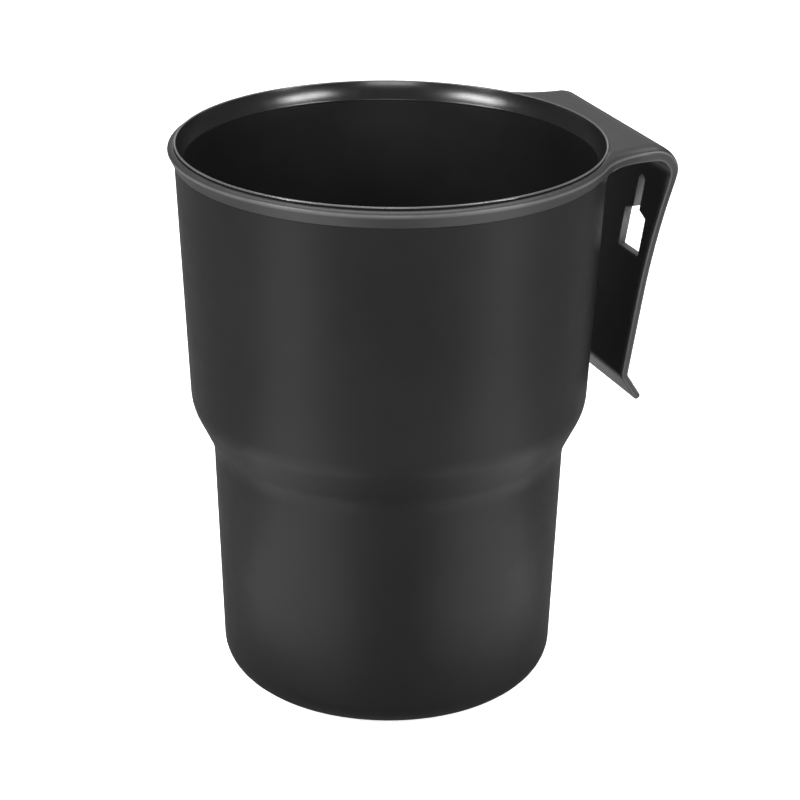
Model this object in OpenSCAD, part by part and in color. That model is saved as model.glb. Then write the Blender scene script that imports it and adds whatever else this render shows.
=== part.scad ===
// Cup holder that hooks over a desk edge, a panel or two screws.
// A stepped tumbler carries a snap-fit collar, and the collar runs out into a plate, a bend and a sprung leg.
// Origin: centre of the tumbler's base. +Z is up, and the hook points along +X.

/* [Tumbler] */
// Height over the lip
cup_height = 124.5; // [122:0.5:135]
// Outer radius of the lower wall where it would meet the floor
base_radius = 37.3; // [36:0.1:38]
// Rounding of the outer edge of the base
base_rounding = 7; // [4:0.5:9]
// Height at which the lower wall turns into the shoulder
shoulder_low = 55.4; // [50:0.2:57]
// Outer radius at the foot of the shoulder
shoulder_low_radius = 39.2; // [38.5:0.1:40]
// Height at which the shoulder turns into the upper wall
shoulder_high = 65.3; // [64:0.1:67]
// Outer radius at the top of the shoulder
shoulder_high_radius = 44; // [43.5:0.1:44.4]
// Outer radius just under the collar
neck_radius = 46.55; // [46.3:0.05:46.8]
// Thickness of the side wall
wall = 2; // [1.6:0.1:2.2]
// Thickness of the floor
floor_thickness = 2.6; // [2:0.1:4]

/* [Collar] */
// Outer radius of the collar, the widest part of the mouth
rim_radius = 48; // [47.6:0.1:48.5]
// Height of the collar's outer band
band_height = 4.2; // [3.8:0.1:5]
// How far the tumbler's lip stands above the collar and plate
lip_proud = 0.3; // [0.1:0.05:0.5]
// Drop of the rounded edge round the collar and plate
edge_drop = 1.2; // [0.6:0.1:1.4]
// Width of the rounded edge round the collar and plate
edge_width = 1.3; // [0.8:0.1:1.3]
// Gap between the tumbler's lip and the collar's seat
fit_gap = 0.05; // [0.02:0.01:0.1]

/* [Hook] */
// Width of the plate and bend
hook_width = 50; // [46:1:52]
// Thickness of the plate
plate_thickness = 3; // [2.5:0.1:3.5]
// Reach of the hook from the tumbler's axis
hook_reach = 56.75; // [56:0.05:58]
// Outer radius of the bend
bend_outer = 5.6; // [5.2:0.1:6]
// Inner radius of the bend
bend_inner = 3.7; // [3.3:0.1:3.9]
// Radius of the fillets between the plate's sides and the collar
side_fillet = 18; // [9:0.5:18]
// Radius of the fillet between the plate's underside and the tumbler's wall
root_fillet = 3.6; // [2.5:0.1:4]

/* [Leg] */
// Width of the leg below its flare
leg_width = 42; // [40:0.5:44]
// Height over which the leg's sides flare out to the width of the bend
flare_height = 29; // [22:1:34]
// Thickness of the leg at the knee
leg_thickness = 1.6; // [1.3:0.1:1.7]
// Lean of the leg towards the tumbler, in degrees from vertical
leg_lean = 9.3; // [8:0.1:10]
// Height of the knee where the foot turns outwards
knee_height = 70.6; // [70:0.2:80]
// Turn-out of the foot, in degrees from vertical
foot_splay = 33; // [20:1:35]
// Length of the foot below the knee
foot_length = 6.7; // [5:0.1:8]
// Clearance between the leg's rolled top and its socket in the bend
hinge_gap = 0.25; // [0.2:0.05:0.3]

/* [Keyholes] */
// Distance from the middle of the leg to each keyhole
keyhole_offset = 12.9; // [11:0.1:14]
// Width of the slot that grips a screw's shank
slot_width = 2.9; // [2.6:0.1:4]
// Height of the top of the slot
slot_top = 114.3; // [112:0.1:114.5]
// Width of the opening that a screw head passes through
head_width = 9.4; // [8:0.1:11]
// Height of the bottom of the opening
head_bottom = 97.2; // [96:0.2:99]
// Height of the opening's straight sides
head_side = 8.4; // [6:0.1:9]
// Rise of the sloping shoulders between the opening and the slot
head_shoulder = 1.1; // [0.5:0.1:2]

/* [Hidden] */
$fn = 96;
over = 1;                                   // cutters run past the solids by this much
lip_chamfer = 4;                            // depth of the slope inside the lip
lip_edge = 0.5;                             // width of the lip at its top
neck_wall = 1;                              // wall left inside the collar's rebate
lip_fold = 0.8;                             // height of the straight neck under the flared lip
collar_top = cup_height - lip_proud;
rebate_z = collar_top - band_height;
inner_top_radius = neck_radius - wall;
neck_outer = inner_top_radius + neck_wall;
lip_radius = rim_radius - edge_width - fit_gap;
shoulder_low_round = 13;
shoulder_high_round = 11.5;
half_width = hook_width / 2;
underside = collar_top - plate_thickness;
bend_x = hook_reach - bend_outer;           // both arcs of the bend are centred over this line
bend_outer_z = collar_top - bend_outer;
bend_inner_z = underside - bend_inner;
plate_start = 30;                           // where the plate's strip begins, inside the collar

function polar(centre, radius, angle) = [centre[0] + radius * cos(angle), centre[1] + radius * sin(angle)];

// Points of an arc from one angle to another, both included
function arc(centre, radius, from, to, steps = 12) =
    [for (i = [0:steps]) polar(centre, radius, from + (to - from) * i / steps)];

function unit(v) = v / norm(v);

function reversed(list) = [for (i = [len(list) - 1:-1:0]) list[i]];

// The corner b of the outline a, b, c, rounded to a radius
function rounded(a, b, c, radius, steps = 8) =
    let (u = unit(a - b),
         v = unit(c - b),
         half = acos(u * v) / 2,
         centre = b + unit(u + v) * radius / sin(half),
         start = b + u * radius / tan(half) - centre,
         end = b + v * radius / tan(half) - centre,
         from = atan2(start[1], start[0]),
         turn = (atan2(end[1], end[0]) - from + 540) % 360 - 180)
    arc(centre, radius, from, from + turn, steps);

// Crossing of two lines, each a point and a lean from vertical in degrees, positive towards +X going up
function crossing(p, lean_p, q, lean_q) =
    let (z = (q[0] - p[0] + p[1] * tan(lean_p) - q[1] * tan(lean_q)) / (tan(lean_p) - tan(lean_q)))
    [p[0] + (z - p[1]) * tan(lean_p), z];

// The two faces of the strip where it leaves the bend, already at the leg's lean
bend_outer_end = polar([bend_x, bend_outer_z], bend_outer, -leg_lean);
bend_inner_end = polar([bend_x, bend_inner_z], bend_inner, -leg_lean);
strip_down = [-sin(leg_lean), -cos(leg_lean)];
strip_out = [cos(leg_lean), -sin(leg_lean)];
strip_thickness = (bend_outer_end - bend_inner_end) * strip_out;

// Hinge line of the flexing leg: mid-thickness, just below the bend
hinge = bend_outer_end - strip_out * strip_thickness / 2 + strip_down * 0.5;
hinge_radius = strip_thickness / 2;

// Corners of the leg's two faces, at the knee and at the foot's end
foot_down = [sin(foot_splay), -cos(foot_splay)];
foot_out = [cos(foot_splay), sin(foot_splay)];
knee_outer = bend_outer_end + strip_down * (bend_outer_end[1] - knee_height) / cos(leg_lean);
foot_tip_outer = knee_outer + foot_down * foot_length;
foot_tip_inner = foot_tip_outer - foot_out * leg_thickness;
knee_inner = crossing(knee_outer - strip_out * leg_thickness, leg_lean, foot_tip_inner, -foot_splay);

// Flare of the leg's sides: an arc that starts straight down the side
flare_spread = (hook_width - leg_width) / 2;
flare_radius = (pow(flare_height, 2) + pow(flare_spread, 2)) / (2 * flare_spread);

// Outline of the tumbler's outer wall, from the base up to the rebate
function outer_wall(inset, start_z) =
    let (low = [shoulder_low_radius - inset, shoulder_low],
         high = [shoulder_high_radius - inset, shoulder_high],
         foot = [base_radius - inset, start_z],
         top = [neck_radius - inset, rebate_z])
    concat(rounded([0, start_z], foot, low, base_rounding - inset),
           rounded(foot, low, high, shoulder_low_round + inset),
           rounded(low, high, top, shoulder_high_round - inset),
           [top]);

// The tumbler: stepped wall, closed floor, a rebate for the collar and a flared lip
module tumbler() {
    lip_outside = [lip_radius, collar_top];
    color("#2e2f30")
    rotate_extrude($fn = 144)
    polygon(concat(
        [[0, 0]],
        outer_wall(0, 0),
        [[neck_outer, rebate_z], [neck_outer, rebate_z + lip_fold], lip_outside],
        arc([lip_radius - lip_edge / 2, cup_height - lip_edge / 2], lip_edge / 2, 0, 180, 6),
        [[inner_top_radius, cup_height - lip_chamfer]],
        reversed(outer_wall(wall, floor_thickness)),
        [[0, floor_thickness]]));
}

// Cross-section of the collar's ring: sloping band, rounded top edge and a seat under the lip
module ring_section() {
    seat = lip_radius + fit_gap;
    bore = neck_outer + fit_gap;
    polygon(concat(
        [[neck_radius, rebate_z]],
        [[rim_radius, collar_top - edge_drop]],
        [for (a = [30:30:90]) [rim_radius - edge_width * (1 - cos(a)), collar_top - edge_drop * (1 - sin(a))]],
        [[seat, collar_top], [bore, rebate_z + lip_fold], [bore, rebate_z]]));
}

// Side outline of the plate and the bend, down to the hinge
module plate_outline() {
    polygon(concat(
        [[plate_start, underside], [plate_start, collar_top]],
        arc([bend_x, bend_outer_z], bend_outer, 90, -leg_lean, 16),
        [hinge + strip_out * hinge_radius, hinge - strip_out * hinge_radius],
        arc([bend_x, bend_inner_z], bend_inner, -leg_lean, 90, 14)));
}

// What the hook is wide, in plan: the strip with a fillet on each side where it meets the collar
module plan_outline() {
    fillet_y = half_width + side_fillet;
    fillet_x = sqrt(pow(rim_radius + side_fillet, 2) - pow(fillet_y, 2));
    difference() {
        union() {
            translate([0, -half_width])
            square([hook_reach + over, hook_width]);
            for (side = [-1, 1])
                polygon([[0, 0], [fillet_x, side * half_width], [fillet_x, side * (half_width + over)],
                         [fillet_x, side * fillet_y] * rim_radius / (rim_radius + side_fillet)]);
        }
        for (side = [-1, 1])
            translate([fillet_x, side * fillet_y])
            circle(r = side_fillet);
        circle(r = rim_radius - edge_width);
    }
}

// The collar: a ring snapped under the lip, its plate, the root fillet and the bend
module hook_collar() {
    seat = lip_radius + fit_gap;
    wall_gap = neck_radius + fit_gap;
    color("#4a4b4d")
    difference() {
        union() {
            rotate_extrude($fn = 144)
            ring_section();
            // plate and bend, trimmed to the plan outline
            intersection() {
                rotate([90, 0, 0])
                translate([0, 0, -half_width - side_fillet])
                linear_extrude(hook_width + 2 * side_fillet)
                plate_outline();
                translate([0, 0, hinge[1] - over])
                linear_extrude(collar_top)
                plan_outline();
            }
            // fillet under the plate, round the tumbler's wall
            intersection() {
                rotate_extrude($fn = 144)
                difference() {
                    translate([wall_gap, underside - root_fillet])
                    square([root_fillet, root_fillet + over]);
                    translate([wall_gap + root_fillet, underside - root_fillet])
                    circle(r = root_fillet, $fn = 64);
                }
                translate([0, -half_width, 0])
                cube([hook_reach, hook_width, cup_height]);
            }
        }
        // bore under the plate, clear of the tumbler's neck and wall
        translate([0, 0, rebate_z])
        cylinder(r = neck_outer + fit_gap, h = lip_fold);
        translate([0, 0, rebate_z + lip_fold])
        cylinder(r1 = neck_outer + fit_gap, r2 = seat, h = collar_top - rebate_z - lip_fold);
        translate([0, 0, rebate_z - 2 * root_fillet])
        cylinder(r = wall_gap, h = 2 * root_fillet);
        // socket for the leg's rolled top
        translate([hinge[0], half_width + over, hinge[1]])
        rotate([90, 0, 0])
        cylinder(r = hinge_radius + hinge_gap, h = hook_width + 2 * over);
    }
}

// Side outline of the leg: the straight strip below the hinge, the knee and the foot
module leg_side() {
    outer_start = hinge + strip_out * hinge_radius;
    inner_start = hinge - strip_out * hinge_radius;
    polygon(concat(
        [outer_start],
        rounded(outer_start, knee_outer, foot_tip_outer, 1.2, 5),
        rounded(knee_outer, foot_tip_outer, foot_tip_inner, 0.7, 4),
        rounded(foot_tip_outer, foot_tip_inner, knee_inner, 0.7, 4),
        rounded(foot_tip_inner, knee_inner, inner_start, 2.5, 6),
        [inner_start]));
}

// Front outline of the leg: straight sides that flare out to the width of the bend
module leg_front() {
    low = hinge[1] - flare_height;
    turn = asin(flare_height / flare_radius);
    side = concat(
        [[leg_width / 2, 0]],
        arc([leg_width / 2 + flare_radius, low], flare_radius, 180, 180 - turn, 10),
        [[half_width, cup_height]]);
    polygon(concat(side, reversed([for (p = side) [-p[0], p[1]]])));
}

// Keyhole: a rounded slot over a wide opening with sloping shoulders, as seen along X
module keyhole() {
    slot_radius = slot_width / 2;
    head_top = head_bottom + head_side;
    translate([0, slot_top - slot_radius])
    circle(r = slot_radius, $fn = 48);
    polygon([[-head_width / 2, head_bottom], [head_width / 2, head_bottom], [head_width / 2, head_top],
             [slot_radius, head_top + head_shoulder], [slot_radius, slot_top - slot_radius],
             [-slot_radius, slot_top - slot_radius], [-slot_radius, head_top + head_shoulder],
             [-head_width / 2, head_top]]);
}

// The sprung leg: rolled top, flared strip with two keyholes, and a turned-out foot
module hook_leg() {
    color("#3a3b3c")
    difference() {
        intersection() {
            union() {
                translate([0, half_width, 0])
                rotate([90, 0, 0])
                linear_extrude(hook_width)
                leg_side();
                translate([hinge[0], half_width, hinge[1]])
                rotate([90, 0, 0])
                cylinder(r = hinge_radius, h = hook_width);
            }
            rotate([90, 0, 90])
            linear_extrude(hook_reach + over)
            leg_front();
        }
        for (side = [-1, 1])
            translate([knee_outer[0], side * keyhole_offset, 0])
            rotate([90, 0, 90])
            linear_extrude(hook_reach - knee_outer[0])
            keyhole();
    }
}

tumbler();
hook_collar();
hook_leg();
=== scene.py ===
"""Looks of the hook-on cup holder: tumbler and snap-fit hook moulding in dark plastic, on a white floor."""
import math

import bmesh
import bpy
from mathutils import Matrix, Vector


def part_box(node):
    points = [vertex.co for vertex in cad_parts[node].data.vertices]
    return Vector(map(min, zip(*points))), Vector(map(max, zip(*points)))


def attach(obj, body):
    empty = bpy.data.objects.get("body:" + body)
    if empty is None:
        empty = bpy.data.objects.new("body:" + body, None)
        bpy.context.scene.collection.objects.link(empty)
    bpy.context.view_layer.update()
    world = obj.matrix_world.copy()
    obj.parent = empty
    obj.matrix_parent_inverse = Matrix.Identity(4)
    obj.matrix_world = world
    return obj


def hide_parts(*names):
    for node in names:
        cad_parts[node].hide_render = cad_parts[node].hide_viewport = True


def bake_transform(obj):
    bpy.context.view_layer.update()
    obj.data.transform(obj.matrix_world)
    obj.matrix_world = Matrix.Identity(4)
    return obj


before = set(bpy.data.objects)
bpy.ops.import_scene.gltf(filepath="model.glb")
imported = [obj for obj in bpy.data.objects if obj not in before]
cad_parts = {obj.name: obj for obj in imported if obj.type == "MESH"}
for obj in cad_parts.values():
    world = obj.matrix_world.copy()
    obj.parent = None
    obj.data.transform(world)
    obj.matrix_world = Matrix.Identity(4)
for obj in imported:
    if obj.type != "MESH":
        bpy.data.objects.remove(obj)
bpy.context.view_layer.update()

MM = 0.001  # every length below is in millimetres, and becomes metres as a mesh is written

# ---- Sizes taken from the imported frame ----
tumbler_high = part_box("tumbler")[1]
collar_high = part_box("hook_collar")[1]
CUP_HEIGHT = tumbler_high[2] / MM
RIM_RADIUS = collar_high[1] / MM
HOOK_REACH = collar_high[0] / MM
COLLAR_TOP = collar_high[2] / MM
HALF_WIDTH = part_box("hook_leg")[1][1] / MM

# ---- Tumbler ----
BASE_RADIUS = 37.3
BASE_ROUNDING = 7.0
SHOULDER_LOW = (39.2, 55.4)
SHOULDER_HIGH = (44.0, 65.3)
SHOULDER_LOW_ROUND = 13.0
SHOULDER_HIGH_ROUND = 11.5
NECK_RADIUS = 46.55
WALL = 2.0
FLOOR = 2.6
LIP_CHAMFER = 4.0
LIP_EDGE = 0.5
LIP_HOLLOW = 0.2
LIP_FOOT_ROUND = 0.4
LIP_FOLD = 0.8
NECK_WALL = 1.0
LIP_PLASTIC_FROM = CUP_HEIGHT - LIP_CHAMFER - 0.5  # the plastic is smoother from just under the slope up

# ---- Collar and plate ----
BAND_HEIGHT = 4.2
BAND_FOOT = COLLAR_TOP - BAND_HEIGHT
EDGE_DROP = 1.2
EDGE_WIDTH = 3.2
RING_TOP_WIDTH = 1.3
FIT_GAP = 0.05
SEAT_RADIUS = RIM_RADIUS - RING_TOP_WIDTH
LIP_RADIUS = SEAT_RADIUS - FIT_GAP
PLATE_THICKNESS = 3.0
UNDERSIDE = COLLAR_TOP - PLATE_THICKNESS
SIDE_FILLET = 18.0
ROOT_FILLET = 3.6
ROOT_FADE_START = math.radians(31)
CHANNEL_DEPTH = 0.2
CHANNEL_WIDTH = 1.1
CHANNEL_FADE = math.radians(18)
BAND_EDGE_ROUND = 0.15
PLATE_EDGE_ROUND = 0.3

# ---- Bend and leg ----
BEND_OUTER = 5.6
BEND_INNER = 3.7
BEND_X = HOOK_REACH - BEND_OUTER
LEG_LEAN = 9.3
LEG_HALF_WIDTH = 21.0
LEG_THICKNESS = 1.6
FLARE_TOP = COLLAR_TOP - 6.9
FLARE_HEIGHT = 29.0
FLARE_BLEND = 0.8
KNEE_HEIGHT = 70.6
KNEE_ROUND = 1.2
KNEE_INNER_ROUND = 2.5
FOOT_SPLAY = 33.0
FOOT_LENGTH = 6.7
LEG_EDGE_WIDTH = 0.45
LEG_EDGE_DROP = 0.4
LEG_EDGE_ROUND = 0.3
EDGE_SHARE = 0.45  # most of the thickness that one face's rounded edge takes
FOOT_CORNER = 1.2

# ---- Keyholes ----
KEYHOLE_OFFSET = 12.9
SLOT_WIDTH = 2.9
SLOT_TOP = 114.3
HEAD_WIDTH = 9.4
HEAD_BOTTOM = 97.2
HEAD_SIDE = 8.4
HEAD_SHOULDER = 1.1
CUT_FROM, CUT_TO = 48.5, HOOK_REACH + 2  # x where the cutters start and end, either side of the leg

# ---- Painted edge highlights, and painted light on the foot ----
# curvatures at which an edge's painted highlight begins and is full
HIGHLIGHT_FROM, HIGHLIGHT_FULL = 0.9, 2.6  # an edge's curvature in 1/mm
# the painted highlight is weaker on inner edges; the heights and radii below tell outer edges and the band's
# foot apart
INNER_EDGE_HIGHLIGHT = 0.8
OUTER_EDGE_ABOVE = UNDERSIDE + 0.5
OUTER_EDGE_BEYOND = BEND_X + BEND_INNER + 0.5
BAND_WITHIN = RIM_RADIUS + 0.3
BAND_FOOT_BELOW = COLLAR_TOP - EDGE_DROP - 1
# painted light on the foot's inner face, for light bounced up from the floor: how strong, how far above the
# knee, how deep in from the outer face
FOOT_PAINTED_LIGHT = 0.8
FOOT_LIGHT_ABOVE_KNEE = 0.5
FOOT_LIGHT_DEPTH = 1.0

# ---- Mesh steps ----
LATHE_STEPS = 256
SIDE_STEPS = 6
FILLET_STEPS = 18
RING_STEPS = 84
EDGE_STEPS = 8
WALL_STEPS = 4
ROUND_STEPS = 3
HOOK_COLUMNS = 71
STRIP_COLUMNS = 40
ROOT_STEPS = 8
BEND_STEPS = 20
LEG_STEPS = 36
FOOT_STEPS = 4
TIP_STEPS = 6
LONGEST_STEP = 4.0
SHARP_DEGREES = 40


# ======== Plane geometry ========
def lerp(a, b, t):
    return a + (b - a) * t


def between(p, q, t):
    return tuple(lerp(a, b, t) for a, b in zip(p, q))


def smooth(t):
    t = min(max(t, 0.0), 1.0)
    return t * t * (3 - 2 * t)


def polar(centre, radius, degrees):
    angle = math.radians(degrees)
    return (centre[0] + radius * math.cos(angle), centre[1] + radius * math.sin(angle))


def arc(centre, radius, start, end, steps):
    return [polar(centre, radius, lerp(start, end, i / steps)) for i in range(steps + 1)]


def rounded(a, b, c, radius, steps=8):
    """The corner b of the outline a, b, c as an arc."""
    a, b, c = Vector(a), Vector(b), Vector(c)
    u, v = (a - b).normalized(), (c - b).normalized()
    half = u.angle(v) / 2
    centre = b + (u + v).normalized() * radius / math.sin(half)
    start = b + u * radius / math.tan(half) - centre
    end = b + v * radius / math.tan(half) - centre
    first = math.degrees(math.atan2(start.y, start.x))
    turn = (math.degrees(math.atan2(end.y, end.x)) - first + 540) % 360 - 180
    return arc(centre, radius, first, first + turn, steps)


def bowed(start, end, bulge, steps):
    """A shallow curve between two points, which bulges to the left on the way."""
    length = math.dist(start, end)
    left = ((start[1] - end[1]) / length, (end[0] - start[0]) / length)
    out = []
    for i in range(steps + 1):
        t = i / steps
        middle, rise = between(start, end, t), 4 * bulge * t * (1 - t)
        out.append((middle[0] + left[0] * rise, middle[1] + left[1] * rise))
    return out


def crossing(p, lean_p, q, lean_q):
    """Where two lines cross, each a point and a lean from vertical in degrees."""
    tp, tq = math.tan(math.radians(lean_p)), math.tan(math.radians(lean_q))
    z = (q[0] - p[0] + p[1] * tp - q[1] * tq) / (tp - tq)
    return (p[0] + (z - p[1]) * tp, z)


def divided(points, longest):
    """The same outline with no stretch longer than a limit."""
    out = [points[0]]
    for p, q in zip(points, points[1:]):
        count = max(1, math.ceil(math.dist(p, q) / longest))
        out += [between(p, q, i / count) for i in range(1, count + 1)]
    return out


# ======== Mesh making ========
class Shell:
    """Points and faces of one piece, in millimetres; points that coincide are welded when it is made."""

    def __init__(self):
        self.points = []
        self.faces = []

    def add(self, points):
        start = len(self.points)
        self.points += [tuple(p) for p in points]
        return list(range(start, start + len(points)))

    def face(self, points):
        self.faces.append(self.add(points))

    def grid(self, rows, closed=False):
        """Quads between rows of equal length; closed joins each row's end to its start."""
        ids = [self.add(row) for row in rows]
        last = len(ids[0]) if closed else len(ids[0]) - 1
        for a, b in zip(ids, ids[1:]):
            for i in range(last):
                k = (i + 1) % len(a)
                self.faces.append([a[i], a[k], b[k], b[i]])

    def make(self, name, weld=0.002):
        mesh = bpy.data.meshes.new(name)
        mesh.from_pydata([(x * MM, y * MM, z * MM) for x, y, z in self.points], [], self.faces)
        bm = bmesh.new()
        bm.from_mesh(mesh)
        bmesh.ops.remove_doubles(bm, verts=bm.verts, dist=weld * MM)
        bmesh.ops.dissolve_degenerate(bm, edges=bm.edges, dist=weld * MM)
        bmesh.ops.recalc_face_normals(bm, faces=bm.faces)
        bm.to_mesh(mesh)
        bm.free()
        obj = bpy.data.objects.new(name, mesh)
        bpy.context.scene.collection.objects.link(obj)
        return obj


def apply_modifiers(obj):
    depsgraph = bpy.context.evaluated_depsgraph_get()
    mesh = bpy.data.meshes.new_from_object(obj.evaluated_get(depsgraph))
    obj.modifiers.clear()
    obj.data = mesh


def smooth_shading(obj):
    """Smooth faces with sharp creases, and flats kept flat by weighting normals by area."""
    obj.data.shade_smooth()
    obj.data.set_sharp_from_angle(angle=math.radians(SHARP_DEGREES))
    weighted = obj.modifiers.new("weighted", "WEIGHTED_NORMAL")
    weighted.keep_sharp = True
    apply_modifiers(obj)


def mark_painted_light(obj, highlight_strength_at, face_light_at=lambda point: 0):
    """Store painted light from 0 to 1: a painted highlight on edges by how tight they are, scaled by the
    first mask, and painted light on faces from the second.
    """
    mesh = obj.data
    tightest = [0.0] * len(mesh.vertices)
    for edge in mesh.edges:
        a, b = (mesh.vertices[i] for i in edge.vertices)
        along = a.co - b.co
        length = max(along.length, 1e-7)
        for vertex, step in ((a, along), (b, -along)):
            curvature = 2 * vertex.normal.dot(step) / length ** 2 * MM
            tightest[vertex.index] = max(tightest[vertex.index], curvature)
    highlight_mask = mesh.attributes.new("painted_edge_light", "FLOAT", "POINT")
    amounts = [smooth((k - HIGHLIGHT_FROM) / (HIGHLIGHT_FULL - HIGHLIGHT_FROM)) for k in tightest]
    highlight_mask.data.foreach_set("value", [max(a * highlight_strength_at(v.co / MM), face_light_at(v.co / MM))
                                        for a, v in zip(amounts, mesh.vertices)])


# ======== Tumbler ========
def tumbler_wall(inset, start_z):
    """Side wall from the base up to the collar's rebate, inset from the outer face."""
    foot = (BASE_RADIUS - inset, start_z)
    low = (SHOULDER_LOW[0] - inset, SHOULDER_LOW[1])
    high = (SHOULDER_HIGH[0] - inset, SHOULDER_HIGH[1])
    top = (NECK_RADIUS - inset, BAND_FOOT)
    return (rounded((0, start_z), foot, low, BASE_ROUNDING - inset, 10)
            + rounded(foot, low, high, SHOULDER_LOW_ROUND + inset, 10)
            + rounded(low, high, top, SHOULDER_HIGH_ROUND - inset, 10)
            + [top])


def make_tumbler():
    inner_top = NECK_RADIUS - WALL
    neck = inner_top + NECK_WALL
    lip_centre = (LIP_RADIUS - LIP_EDGE / 2, CUP_HEIGHT - LIP_EDGE / 2)
    slope_foot = (inner_top, CUP_HEIGHT - LIP_CHAMFER)
    inside_lip = (lip_centre[0] - LIP_EDGE / 2, lip_centre[1])
    wall_below = (inner_top - 0.1, slope_foot[1] - 2)
    slope = bowed(inside_lip, slope_foot, LIP_HOLLOW, 10)
    profile = ([(0, 0)] + tumbler_wall(0, 0)
               + [(neck, BAND_FOOT), (neck, BAND_FOOT + LIP_FOLD), (LIP_RADIUS, COLLAR_TOP)]
               + arc(lip_centre, LIP_EDGE / 2, 0, 180, 8)
               + slope[1:-1] + rounded(slope[-2], slope_foot, wall_below, LIP_FOOT_ROUND, 4)
               + tumbler_wall(WALL, FLOOR)[::-1] + [(0, FLOOR)])
    turns = [2 * math.pi * i / LATHE_STEPS for i in range(LATHE_STEPS)]
    rows = [[(r * math.cos(a), r * math.sin(a), z) for a in turns] for r, z in divided(profile, LONGEST_STEP)]
    shell = Shell()
    shell.grid(rows, closed=True)
    return shell.make("tumbler_shell")


# ======== Hook moulding: collar, plate, bend and leg in one ========
def collar_radius(z):
    """Outer radius of the collar's sloping band at a height."""
    band_top = COLLAR_TOP - EDGE_DROP
    t = min(max((band_top - z) / (band_top - BAND_FOOT), 0), 1)
    return lerp(RIM_RADIUS, NECK_RADIUS, t)


def knee_corner():
    """The outer face's corner at the knee, straight down the leg from the end of the bend."""
    bend_end = polar((BEND_X, COLLAR_TOP - BEND_OUTER), BEND_OUTER, -LEG_LEAN)
    return (bend_end[0] - (bend_end[1] - KNEE_HEIGHT) * math.tan(math.radians(LEG_LEAN)), KNEE_HEIGHT)


KNEE_X = knee_corner()[0]
STATIONS = ([("side", i / SIDE_STEPS) for i in range(SIDE_STEPS)]
            + [("fillet", i / FILLET_STEPS) for i in range(FILLET_STEPS)]
            + [("ring", i / RING_STEPS) for i in range(RING_STEPS + 1)])
TANGENT = SIDE_STEPS + FILLET_STEPS  # the station where the side fillet runs out into the ring


def fillet_centre_x(radius):
    """How far out the side fillet's centre lies, for a ring of this radius."""
    return math.sqrt((radius + SIDE_FILLET) ** 2 - (HALF_WIDTH + SIDE_FILLET) ** 2)


def outline_point(station, radius, inset):
    """A point of the plan outline on the +Y half, for a ring of this radius, moved in from the edge."""
    part, t = STATIONS[station]
    centre = (fillet_centre_x(radius), HALF_WIDTH + SIDE_FILLET)
    tangent = math.degrees(math.atan2(centre[1], centre[0]))
    if part == "side":
        return (lerp(BEND_X, centre[0], t), HALF_WIDTH - inset)
    if part == "fillet":
        return polar(centre, SIDE_FILLET + inset, lerp(270, 180 + tangent, t))
    return polar((0, 0), radius - inset, lerp(tangent, 180, t))


def edge_profile(width):
    """Insets and heights from the outline's edge up and in, as far as width, on the wide rounded edge."""
    out = []
    for i in range(EDGE_STEPS + 1):
        inset = width * (1 - math.cos(math.pi / 2 * i / EDGE_STEPS))
        rise = EDGE_DROP * math.sqrt(max(0.0, 1 - (1 - inset / EDGE_WIDTH) ** 2))
        out.append((inset, COLLAR_TOP - EDGE_DROP + rise))
    return out


def edge_room(station):
    """Width of the rounded edge at a station: all of it, or less where the tumbler's lip is in the way."""
    low, high = 0.0, EDGE_WIDTH
    if math.hypot(*outline_point(station, RIM_RADIUS, high)) >= SEAT_RADIUS:
        return high
    for _ in range(50):
        middle = (low + high) / 2
        if math.hypot(*outline_point(station, RIM_RADIUS, middle)) > SEAT_RADIUS:
            low = middle
        else:
            high = middle
    return low


# the stations where the plate's rounded edge meets the lip, and the polar angle of the first
TOUCHING = [k for k in range(TANGENT + 1) if edge_room(k) < EDGE_WIDTH]
CHANNEL_START = math.atan2(*outline_point(TOUCHING[0], RIM_RADIUS, edge_room(TOUCHING[0]))[::-1])


def root_radius(angle):
    """Radius of the fillet under the plate, which fades out towards the sides."""
    end = math.atan2(HALF_WIDTH + SIDE_FILLET, fillet_centre_x(NECK_RADIUS))
    fade = smooth((abs(angle) - ROOT_FADE_START) / (end - ROOT_FADE_START))
    return lerp(ROOT_FILLET, UNDERSIDE - BAND_FOOT, fade)


def underside_height(x, y):
    """Height of the plate's underside and root fillet over a point in plan."""
    root = root_radius(math.atan2(y, x))
    gap = NECK_RADIUS + root - math.hypot(x, y)
    if gap <= 0:
        return UNDERSIDE
    return UNDERSIDE - root + math.sqrt(max(0.0, root ** 2 - gap ** 2))


def side_foot(station, rounding):
    """Height at which the side wall of the collar or plate ends."""
    if station >= TANGENT:
        return BAND_FOOT
    low, high = UNDERSIDE - ROOT_FILLET, UNDERSIDE
    for _ in range(50):
        z = (low + high) / 2
        if z < underside_height(*outline_point(station, collar_radius(z), rounding)):
            low = z
        else:
            high = z
    return high


def channel_depth(x, y):
    """Depth of the channel in the collar's top beside the lip, which fades out where the plate begins."""
    outwards = (math.hypot(x, y) - SEAT_RADIUS) / CHANNEL_WIDTH
    around = (abs(math.atan2(y, x)) - CHANNEL_START) / CHANNEL_FADE
    return CHANNEL_DEPTH * max(0.0, 1 - outwards) ** 2 * smooth(around)


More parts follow.
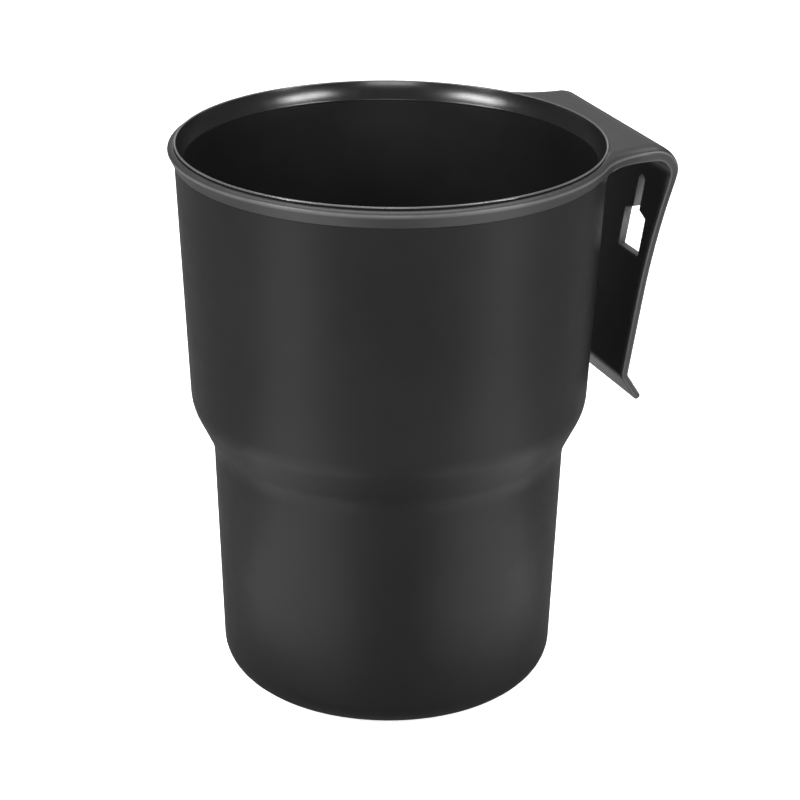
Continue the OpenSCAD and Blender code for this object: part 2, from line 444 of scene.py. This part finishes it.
def side_column(station):
    """Points at one station, from the inner edge of the top over the rounded edge and down the side."""
    along = min(station / TANGENT, 1)
    rounding = lerp(PLATE_EDGE_ROUND, BAND_EDGE_ROUND, smooth(along))
    column = []
    for inset, z in edge_profile(edge_room(station))[::-1]:
        x, y = outline_point(station, RIM_RADIUS, inset)
        column.append((x, y, z - channel_depth(x, y)))
    top, foot = COLLAR_TOP - EDGE_DROP, side_foot(station, rounding)
    for i in range(1, WALL_STEPS + 1):
        z = lerp(top, foot + rounding, i / WALL_STEPS)
        column.append((*outline_point(station, collar_radius(z), 0), z))
    for i in range(1, ROUND_STEPS + 1):
        turn = math.pi / 2 * i / ROUND_STEPS
        z = foot + rounding * (1 - math.sin(turn))
        column.append((*outline_point(station, collar_radius(z), rounding * (1 - math.cos(turn))), z))
    return column


def mirrored(points):
    return [(x, -y, z) for x, y, z in points]


def hook_angles(station_points):
    """Polar angles of the hook's columns: those of the given points, even steps between, and their mirror."""
    fixed = [math.atan2(y, x) for x, y, z in station_points]
    free = HOOK_COLUMNS - 2 * len(fixed)
    middle = [lerp(fixed[-1], -fixed[-1], (i + 1) / (free + 1)) for i in range(free)]
    return fixed + middle + [-a for a in reversed(fixed)]


def strip_half_width(height):
    """Half the width of the bend and leg: the plate's, narrowing in an arc to the leg's."""
    spread = HALF_WIDTH - LEG_HALF_WIDTH
    radius = (FLARE_HEIGHT ** 2 + spread ** 2) / (2 * spread)
    rise = max(0.0, height - (FLARE_TOP - FLARE_HEIGHT))
    flared = LEG_HALF_WIDTH + radius - math.sqrt(radius ** 2 - rise ** 2)
    overlap = max(0.0, 1 - abs(flared - HALF_WIDTH) / FLARE_BLEND)
    return min(flared, HALF_WIDTH) - FLARE_BLEND * overlap ** 2 / 4


def leg_faces():
    """Matching points down the outer and inner faces, from the plate round the bend to the foot's end."""
    outer_centre = (BEND_X, COLLAR_TOP - BEND_OUTER)
    inner_centre = (BEND_X, UNDERSIDE - BEND_INNER)
    outer = arc(outer_centre, BEND_OUTER, 90, -LEG_LEAN, BEND_STEPS)
    inner = arc(inner_centre, BEND_INNER, 90, -LEG_LEAN, BEND_STEPS)
    leg_out = polar((0, 0), 1, -LEG_LEAN)
    foot_out = polar((0, 0), 1, FOOT_SPLAY)
    foot_down = (foot_out[1], -foot_out[0])
    knee = knee_corner()
    knee_back = (knee[0] - leg_out[0] * LEG_THICKNESS, knee[1] - leg_out[1] * LEG_THICKNESS)
    tip = (knee[0] + foot_down[0] * FOOT_LENGTH, knee[1] + foot_down[1] * FOOT_LENGTH)
    tip_back = (tip[0] - foot_out[0] * LEG_THICKNESS, tip[1] - foot_out[1] * LEG_THICKNESS)
    knee_inner = crossing(knee_back, LEG_LEAN, tip_back, -FOOT_SPLAY)
    knee_arc = rounded(outer[-1], knee, tip, KNEE_ROUND, 6)
    knee_inner_arc = rounded(inner[-1], knee_inner, tip_back, KNEE_INNER_ROUND, 6)
    for face, knee_face in ((outer, knee_arc), (inner, knee_inner_arc)):
        start = face[-1]
        face += [between(start, knee_face[0], i / LEG_STEPS) for i in range(1, LEG_STEPS)] + knee_face
    # the foot, ending in a half-round tip
    half = LEG_THICKNESS / 2
    stop = 1 - half / FOOT_LENGTH
    for i in range(1, FOOT_STEPS + 1):
        outer.append(between(knee_arc[-1], tip, stop * i / FOOT_STEPS))
        inner.append(between(knee_inner_arc[-1], tip_back, stop * i / FOOT_STEPS))
    middle = between(outer[-1], inner[-1], 0.5)
    for i in range(1, TIP_STEPS + 1):
        turn = math.pi / 2 * i / TIP_STEPS
        down, out = half * math.sin(turn), half * math.cos(turn)
        base = (middle[0] + foot_down[0] * down, middle[1] + foot_down[1] * down)
        outer.append((base[0] + foot_out[0] * out, base[1] + foot_out[1] * out))
        inner.append((base[0] - foot_out[0] * out, base[1] - foot_out[1] * out))
    return outer, inner


def strip_section(outer, inner, half_width, edge_width, edge_drop, rounding):
    """Closed cross-section of the bend or leg between its two faces, with rounded edges."""
    thickness = math.dist(outer, inner)
    edge_width = min(edge_width, max(2 * thickness, 1e-6))  # the foot's tip closes to a line
    edge_drop = min(edge_drop, thickness * EDGE_SHARE)
    rounding = min(rounding, thickness * EDGE_SHARE)

    def place(s, depth):
        t = depth / thickness if thickness > 1e-6 else 0
        return (lerp(outer[0], inner[0], t), s, lerp(outer[1], inner[1], t))

    half = []
    for i in range(EDGE_STEPS + 1):
        inset = edge_width * (1 - math.cos(math.pi / 2 * (EDGE_STEPS - i) / EDGE_STEPS))
        rise = edge_drop * math.sqrt(max(0.0, 1 - (1 - inset / edge_width) ** 2))
        half.append((half_width - inset, edge_drop - rise))
    for i in range(1, WALL_STEPS + 1):
        half.append((half_width, lerp(edge_drop, thickness - rounding, i / WALL_STEPS)))
    for i in range(1, ROUND_STEPS + 1):
        turn = math.pi / 2 * i / ROUND_STEPS
        inset, rise = rounding * (1 - math.cos(turn)), rounding * (1 - math.sin(turn))
        half.append((half_width - inset, thickness - rise))
    top_s, bottom_s = half[0][0], half[-1][0]
    steps = [i / STRIP_COLUMNS for i in range(1, STRIP_COLUMNS)]
    top = [place(lerp(-top_s, top_s, t), 0) for t in steps]
    bottom = [place(lerp(bottom_s, -bottom_s, t), thickness) for t in steps]
    right = [place(s, d) for s, d in half]
    left = [place(-s, d) for s, d in reversed(half)]
    return top + right + bottom + left


def ring_arc(radii, angles, heights):
    """Points at these polar angles, each at its own radius and height."""
    return [(r * math.cos(a), r * math.sin(a), z) for r, a, z in zip(radii, angles, heights)]


def add_seat(shell, half_columns, seat_arc, foot_arc, foot_angles):
    """The seat that the tumbler's lip rests in, the bore, and the shelf out to the band's foot."""
    bore = NECK_RADIUS - WALL + NECK_WALL + FIT_GAP

    def around(ring_row, hook_row):
        """A full ring of points: the hook's columns from +Y to -Y, then the ring's columns back round."""
        ring_half = [ring_row(half_columns[k]) for k in range(TANGENT + 1, len(STATIONS))]
        return hook_row + mirrored(ring_half) + ring_half[-2::-1]

    def on_circle(radius, z):
        def ring_row(column):
            x, y, _ = column[-1]
            scale = radius / math.hypot(x, y)
            return (x * scale, y * scale, z)
        return around(ring_row, [(radius * math.cos(a), radius * math.sin(a), z) for a in foot_angles])

    shell.grid([around(lambda column: column[0], seat_arc), on_circle(bore, BAND_FOOT + LIP_FOLD),
                on_circle(bore, BAND_FOOT), around(lambda column: column[-1], foot_arc)], closed=True)


def add_underside(shell, foot_arc, foot_angles, limits, necks):
    """The neck's wall below the shelf, and the root fillet out from its foot; returns the fillet's end."""
    roots = [root_radius(a) for a in foot_angles]
    rows = [foot_arc, ring_arc(necks, foot_angles, [UNDERSIDE - root for root in roots])]
    for step in range(1, ROOT_STEPS + 1):
        row = []
        for angle, root, limit, neck in zip(foot_angles, roots, limits, necks):
            end = math.pi / 2 if limit is None else math.acos(min(1, (NECK_RADIUS + root - limit) / root))
            turn = end * step / ROOT_STEPS
            radius = neck + root * (1 - math.cos(turn))
            row.append((radius * math.cos(angle), radius * math.sin(angle),
                        UNDERSIDE - root + root * math.sin(turn)))
        rows.append(row)
    shell.grid(rows)
    return rows[-1]


def add_leg(shell):
    """The bend and leg; returns their first cross-section, which the plate's flats run up to."""
    outer, inner = leg_faces()
    sections = []
    for i, (a, b) in enumerate(zip(outer, inner)):
        t = smooth(i / BEND_STEPS)
        to_corner = max(0.0, FOOT_CORNER - math.dist(a, outer[-1]))
        corner = FOOT_CORNER - math.sqrt(FOOT_CORNER ** 2 - to_corner ** 2)
        sections.append(strip_section(
            a, b, strip_half_width((a[1] + b[1]) / 2) - corner, lerp(EDGE_WIDTH, LEG_EDGE_WIDTH, t),
            lerp(EDGE_DROP, LEG_EDGE_DROP, t), lerp(PLATE_EDGE_ROUND, LEG_EDGE_ROUND, t)))
    shell.grid(sections, closed=True)
    return sections[0]


def make_hook():
    shell = Shell()
    half_columns = [side_column(k) for k in range(len(STATIONS))]
    shell.grid(half_columns + [mirrored(c) for c in reversed(half_columns[:-1])])

    # the seat's edge, from where the plate's rounded edge meets the lip
    top_points = [half_columns[k][0] for k in reversed(TOUCHING)]
    top_angles = hook_angles(top_points)
    top_heights = [p[2] for p in top_points]
    top_heights += [COLLAR_TOP] * (HOOK_COLUMNS - 2 * len(top_heights)) + top_heights[::-1]
    seat_arc = ring_arc([SEAT_RADIUS] * HOOK_COLUMNS, top_angles, top_heights)

    # the neck's foot, from where the root fillet reaches the side walls
    under = [k for k in range(TANGENT + 1)
             if math.hypot(*half_columns[k][-1][:2]) < NECK_RADIUS + root_radius(
                 math.atan2(half_columns[k][-1][1], half_columns[k][-1][0]))]
    foot_points = [half_columns[k][-1] for k in reversed(under)]
    foot_angles = hook_angles(foot_points)
    limits = [math.hypot(x, y) for x, y, z in foot_points]
    limits += [None] * (HOOK_COLUMNS - 2 * len(limits)) + limits[::-1]
    necks = [min(NECK_RADIUS, limit or NECK_RADIUS) for limit in limits]
    foot_arc = ring_arc(necks, foot_angles, [BAND_FOOT] * HOOK_COLUMNS)

    add_seat(shell, half_columns, seat_arc, foot_arc, foot_angles)
    fillet_end = add_underside(shell, foot_arc, foot_angles, limits, necks)
    start = add_leg(shell)

    # flat top and flat underside of the plate
    top_line = [start[-1]] + start[:STRIP_COLUMNS]
    bottom_first = STRIP_COLUMNS - 1 + EDGE_STEPS + WALL_STEPS + ROUND_STEPS
    bottom_line = start[bottom_first:bottom_first + STRIP_COLUMNS + 1]
    free_top = [half_columns[k][0] for k in range(1, TOUCHING[0])]
    free_foot = [half_columns[k][-1] for k in range(1, under[0])]
    hook_top = seat_arc[len(TOUCHING) - 1:HOOK_COLUMNS - len(TOUCHING) + 1]
    hook_foot = fillet_end[len(under) - 1:HOOK_COLUMNS - len(under) + 1]
    shell.face(top_line + free_top + hook_top + mirrored(free_top[::-1]))
    shell.face(bottom_line + mirrored(free_foot) + hook_foot[::-1] + free_foot[::-1])
    return shell.make("hook_moulding")


def hook_highlight_strength(point):
    """How strong the painted edge highlight is: full on an outer edge, less on an inner one, none at the
    band's foot.
    """
    if math.hypot(point.x, point.y) < BAND_WITHIN and point.z < BAND_FOOT_BELOW:
        return 0
    return 1 if point.z > OUTER_EDGE_ABOVE or point.x > OUTER_EDGE_BEYOND else INNER_EDGE_HIGHLIGHT


def painted_foot_light(point):
    """Painted light on the foot's inner face, standing in for light bounced up from the floor; it fades out
    just above the knee.
    """
    outer_x = KNEE_X + (KNEE_HEIGHT - point.z) * math.tan(math.radians(FOOT_SPLAY))
    return (FOOT_PAINTED_LIGHT * smooth(KNEE_HEIGHT + FOOT_LIGHT_ABOVE_KNEE - point.z)
            * smooth(outer_x - point.x - FOOT_LIGHT_DEPTH))


def keyhole_outline():
    slot = SLOT_WIDTH / 2
    head = HEAD_WIDTH / 2
    head_top = HEAD_BOTTOM + HEAD_SIDE
    return ([(head, HEAD_BOTTOM), (head, head_top), (slot, head_top + HEAD_SHOULDER)]
            + arc((0, SLOT_TOP - slot), slot, 0, 180, 16)
            + [(-slot, head_top + HEAD_SHOULDER), (-head, head_top), (-head, HEAD_BOTTOM)])


def cut_keyholes(hook):
    shell = Shell()
    for side in (-1, 1):
        near = [(CUT_FROM, side * KEYHOLE_OFFSET + y, z) for y, z in keyhole_outline()]
        far = [(CUT_TO, y, z) for x, y, z in near]
        shell.face(near)
        shell.face(far)
        shell.grid([near, far], closed=True)
    cutter = shell.make("keyhole_cutter")
    cut = hook.modifiers.new("keyholes", "BOOLEAN")
    cut.operation = "DIFFERENCE"
    cut.solver = "EXACT"
    cut.object = cutter
    apply_modifiers(hook)
    bpy.data.objects.remove(cutter)


# ======== Materials ========
class Nodes:
    """Short names for building a material's nodes."""

    def __init__(self, name):
        self.material = bpy.data.materials.new(name)
        self.material.use_nodes = True
        self.tree = self.material.node_tree
        self.shader = self.tree.nodes["Principled BSDF"]

    def node(self, kind, links=(), **values):
        made = self.tree.nodes.new(kind)
        for key, value in values.items():
            if hasattr(made, key):
                setattr(made, key, value)
            else:
                made.inputs[key.replace("_", " ")].default_value = value
        for key, source in dict(links).items():
            self.tree.links.new(source, made.inputs[key])
        return made

    def link(self, source, key):
        self.tree.links.new(source, self.shader.inputs[key])

    def mix(self, factor, first, second):
        """A colour between two, each a colour or another node's output."""
        made = self.node("ShaderNodeMix", {"Factor": factor}, data_type="RGBA")
        for slot, value in ((6, first), (7, second)):
            if isinstance(value, tuple):
                made.inputs[slot].default_value = (*value, 1)
            else:
                self.tree.links.new(value, made.inputs[slot])
        return made.outputs[2]

    def remap(self, source, low, high, to_low, to_high):
        made = self.node("ShaderNodeMapRange", {"Value": source})
        made.inputs["From Min"].default_value = low
        made.inputs["From Max"].default_value = high
        made.inputs["To Min"].default_value = to_low
        made.inputs["To Max"].default_value = to_high
        return made.outputs["Result"]


def moulded_plastic(name, dark, light, highlight_colour, roughness, grain, specular):
    """Spark-textured moulded plastic: fine grain, faint flow marks, uneven gloss, and the marked places
    painted pale and made glossier: painted highlights on edges, painted light on faces.
    """
    m = Nodes(name)
    place = m.node("ShaderNodeTexCoord").outputs["Object"]
    flow = m.node("ShaderNodeTexNoise", {"Vector": place}, Scale=28.0, Detail=3.0, Roughness=0.55)
    speckle = m.node("ShaderNodeTexNoise", {"Vector": place}, Scale=2600.0, Detail=2.0, Roughness=0.6)
    scuffs = m.node("ShaderNodeTexNoise", {"Vector": place}, Scale=160.0, Detail=4.0, Roughness=0.7)
    highlight_mask = m.node("ShaderNodeAttribute", attribute_name="painted_edge_light").outputs["Fac"]
    patchy = m.remap(scuffs.outputs["Fac"], 0.3, 0.7, 0.7, 1.0)
    highlight_mask = m.node("ShaderNodeMath", {0: highlight_mask, 1: patchy}, operation="MULTIPLY").outputs[0]
    tint = m.mix(m.remap(flow.outputs["Fac"], 0.3, 0.7, 0, 1), dark, light)
    # the marked places are painted towards the pale colour: painted highlights and painted light, broken up
    # by the scuff noise, and made glossier below
    m.link(m.mix(highlight_mask, tint, highlight_colour), "Base Color")
    uneven = m.remap(scuffs.outputs["Fac"], 0.3, 0.75, roughness - 0.03, roughness + 0.05)
    highlight_gloss = m.remap(highlight_mask, 0, 1, 0, 0.12)
    m.link(m.node("ShaderNodeMath", {0: uneven, 1: highlight_gloss}, operation="SUBTRACT").outputs[0], "Roughness")
    bump = m.node("ShaderNodeBump", {"Height": speckle.outputs["Fac"]})
    bump.inputs["Strength"].default_value = grain
    bump.inputs["Distance"].default_value = 0.00004
    m.link(bump.outputs["Normal"], "Normal")
    m.shader.inputs["IOR"].default_value = 1.49
    m.shader.inputs["Specular IOR Level"].default_value = specular
    return m.material


def floor_material():
    """White paper floor, lifted to white only where the camera sees it; the object gets a dimmer bounce."""
    m = Nodes("studio_floor")
    m.shader.inputs["Base Color"].default_value = (0.9, 0.9, 0.9, 1)
    m.shader.inputs["Roughness"].default_value = 0.9
    m.shader.inputs["Emission Color"].default_value = (1, 1, 1, 1)
    m.shader.inputs["Emission Strength"].default_value = 0.8
    bounce = m.node("ShaderNodeBsdfDiffuse")
    bounce.inputs["Color"].default_value = (0.28, 0.28, 0.28, 1)
    seen = m.node("ShaderNodeLightPath").outputs["Is Camera Ray"]
    mixed = m.node("ShaderNodeMixShader", {0: seen, 1: bounce.outputs[0], 2: m.shader.outputs[0]})
    m.tree.links.new(mixed.outputs[0], m.tree.nodes["Material Output"].inputs["Surface"])
    return m.material


def studio_world():
    """White surroundings where the camera looks past the floor, but only a dim fill on the object."""
    world = bpy.data.worlds.new("studio")
    world.use_nodes = True
    tree = world.node_tree
    fill = tree.nodes["Background"]
    fill.inputs["Color"].default_value = (1, 1, 1, 1)
    fill.inputs["Strength"].default_value = 0.12
    white = tree.nodes.new("ShaderNodeBackground")
    white.inputs["Color"].default_value = (1, 1, 1, 1)
    seen = tree.nodes.new("ShaderNodeLightPath").outputs["Is Camera Ray"]
    mixed = tree.nodes.new("ShaderNodeMixShader")
    for slot, source in enumerate((seen, fill.outputs[0], white.outputs[0])):
        tree.links.new(source, mixed.inputs[slot])
    tree.links.new(mixed.outputs[0], tree.nodes["World Output"].inputs["Surface"])
    return world


# ======== Studio ========
CAMERA_AZIMUTH = -22.0
CAMERA_ELEVATION = 22.96
CAMERA_DISTANCE = 0.5608
CAMERA_ROLL = 0.527
CAMERA_LENS = 112.5
CAMERA_SHIFT = (0.01415, 0.0071)
AIM = Vector((0, 0, CUP_HEIGHT / 2 * MM))
FLOOR_HALF = 3.0

# name, azimuth from the camera's and elevation in degrees, distance and size in metres, power in watts
SOFT_LIGHTS = (
    ("left_softbox", -54, 34, 1.1, (0.45, 0.22), 10),
    ("right_softbox", 54, 34, 1.1, (0.45, 0.22), 8),
    ("left_strip", -52, 3, 1.0, (0.16, 0.2), 3),
    ("right_strip", 60, 3, 1.0, (0.16, 0.2), 3),
    ("back_strip", 180, 14, 1.2, (0.9, 0.3), 0.5),
    ("top_softbox", 180, 70, 1.0, (0.9, 0.6), 8),
    ("front_softbox", 0, 14, 1.1, (0.5, 0.2), 3),
)
# name, azimuth from the camera's in degrees, near edge, far edge and width in metres, power in watts
FLOOR_CARDS = (
    ("left_card", -50, 0.06, 0.5, 0.1, 0.19),
    ("right_card", 58, 0.06, 0.5, 0.1, 0.17),
    ("back_card", 180, 0.12, 0.5, 0.16, 0.1),
)
CARD_HEIGHT = 0.001


def direction(azimuth, elevation):
    """Unit vector from the object towards a viewer at this azimuth and elevation in degrees."""
    a, e = math.radians(azimuth), math.radians(elevation)
    return Vector((math.sin(a) * math.cos(e), -math.cos(a) * math.cos(e), math.sin(e)))


def facing_object(azimuth, elevation, distance):
    """Where a camera or light stands that looks at the middle of the object from there."""
    back = direction(azimuth, elevation)
    return Matrix.Translation(AIM + back * distance) @ back.to_track_quat("Z", "Y").to_matrix().to_4x4()


def make_camera():
    data = bpy.data.cameras.new("camera")
    data.sensor_width = 36
    data.lens = CAMERA_LENS
    data.shift_x, data.shift_y = CAMERA_SHIFT
    data.clip_start = 0.01
    camera = bpy.data.objects.new("camera", data)
    bpy.context.scene.collection.objects.link(camera)
    roll = Matrix.Rotation(math.radians(CAMERA_ROLL), 4, "Z")
    camera.matrix_world = facing_object(CAMERA_AZIMUTH, CAMERA_ELEVATION, CAMERA_DISTANCE) @ roll
    bpy.context.scene.camera = camera


def area_light(name, size, power, place):
    """A rectangular light that the camera doesn't see."""
    data = bpy.data.lights.new(name, "AREA")
    data.shape = "RECTANGLE"
    data.size, data.size_y = size
    data.energy = power
    light = bpy.data.objects.new(name, data)
    light.visible_camera = False
    bpy.context.scene.collection.objects.link(light)
    light.matrix_world = place


def card_place(azimuth, middle):
    """Just above the floor at this distance, shining up, with its length pointing away from the object."""
    outwards, down = direction(azimuth, 0), Vector((0, 0, -1))
    turn = Matrix((outwards.cross(down), outwards, down)).transposed().to_4x4()
    return Matrix.Translation(outwards * middle + Vector((0, 0, CARD_HEIGHT))) @ turn


def make_floor():
    mesh = bpy.data.meshes.new("studio_floor")
    corners = [(x * FLOOR_HALF, y * FLOOR_HALF, 0) for x, y in ((-1, -1), (1, -1), (1, 1), (-1, 1))]
    mesh.from_pydata(corners, [], [(0, 1, 2, 3)])
    floor = bpy.data.objects.new("studio_floor", mesh)
    bpy.context.scene.collection.objects.link(floor)
    mesh.materials.append(floor_material())


def make_studio():
    make_floor()
    bpy.context.scene.world = studio_world()
    for name, azimuth, elevation, distance, size, power in SOFT_LIGHTS:
        area_light(name, size, power, facing_object(CAMERA_AZIMUTH + azimuth, elevation, distance))
    for name, azimuth, near, far, width, power in FLOOR_CARDS:
        # the cards glow for the long streaks up the wall, which mirrors the floor to a camera looking down
        area_light(name, (width, far - near), power, card_place(CAMERA_AZIMUTH + azimuth, (near + far) / 2))
    bpy.context.scene.view_settings.view_transform = "Standard"


# ======== Assembly ========
make_camera()
make_studio()

tumbler = make_tumbler()
smooth_shading(tumbler)
# painted highlight: the lip's tight top edge is painted pale, in each plastic's third colour below, for the
# bright line of light along it
mark_painted_light(tumbler, lambda point: point.z > COLLAR_TOP)
tumbler.data.materials.append(moulded_plastic(
    "tumbler_plastic", dark=(0.006, 0.006, 0.0062), light=(0.009, 0.009, 0.0093), highlight_colour=(0.15, 0.15, 0.15),
    roughness=0.42, grain=0.35, specular=0.25))
tumbler.data.materials.append(moulded_plastic(
    "lip_plastic", dark=(0.009, 0.009, 0.0093), light=(0.012, 0.012, 0.0123), highlight_colour=(0.11, 0.11, 0.11),
    roughness=0.22, grain=0.1, specular=0.5))
for face in tumbler.data.polygons:
    if face.center.z > LIP_PLASTIC_FROM * MM:
        face.material_index = 1
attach(tumbler, "holder")
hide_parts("tumbler")

hook = make_hook()
cut_keyholes(hook)
smooth_shading(hook)
# painted highlights on the hook's tight edges and painted light on the foot's inner face, in the hook
# plastic's pale third colour
mark_painted_light(hook, hook_highlight_strength, painted_foot_light)
hook.data.materials.append(moulded_plastic(
    "hook_plastic", dark=(0.024, 0.024, 0.0245), light=(0.030, 0.030, 0.0305), highlight_colour=(0.13, 0.13, 0.132),
    roughness=0.4, grain=0.3, specular=0.35))
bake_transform(hook)
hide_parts("hook_collar", "hook_leg")
